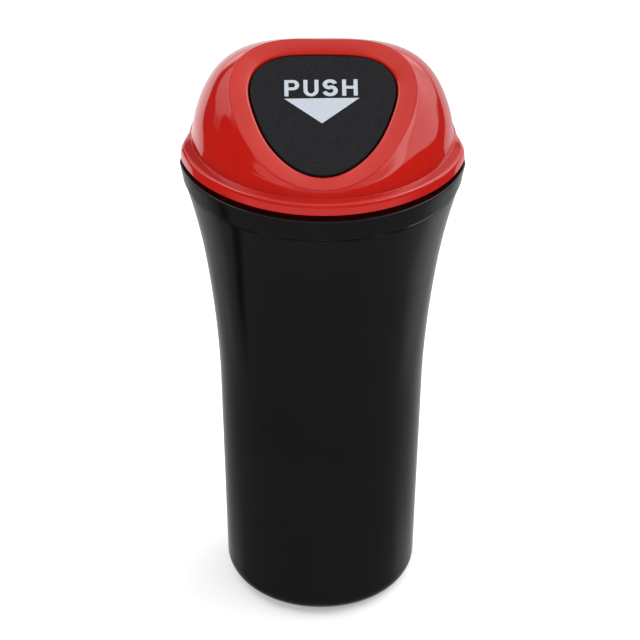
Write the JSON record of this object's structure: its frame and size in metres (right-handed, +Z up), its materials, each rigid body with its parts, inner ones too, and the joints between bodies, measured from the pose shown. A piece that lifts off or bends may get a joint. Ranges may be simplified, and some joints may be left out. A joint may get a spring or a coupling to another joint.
{
  "type": "car trash bin",
  "caption": "Tall flared cup with a pull-off hood; a sprung push flap closes the hood's slanted face.",
  "frame": {"origin": "centre of the cup's flat underside", "axes": "+Z up along the cup's axis, -Y towards the flap, +X to the right as the flap is seen from the front"},
  "size_m": [0.0938, 0.0936, 0.2059],
  "materials": {
    "cup": "moulded black plastic, high gloss",
    "hood": "moulded red plastic, high gloss",
    "flap": "moulded black plastic, fine matt texture",
    "print": "pad-printed white ink, satin",
    "steel": "drawn steel wire, bright"
  },
  "bodies": {
    "bin": {"cup": "cup"},
    "lid": {"hood": "hood", "hinge_pin": "steel", "return_spring": "steel"},
    "flap": {"flap": "flap"}
  },
  "joints": [
    {"name": "lid_lift", "type": "slide", "parent": "bin", "child": "lid", "axis": [0, 0, 1], "range_m": [0, 0.06]},
    {"name": "flap_hinge", "type": "hinge", "parent": "lid", "child": "flap", "pos_m": [0, 0.00168, 0.19636], "axis": [1, 0, 0], "range_deg": [0, 60], "stiffness_Nm_per_rad": 0.008, "springref_deg": -22.92, "deforming": ["return_spring"]}
  ]
}
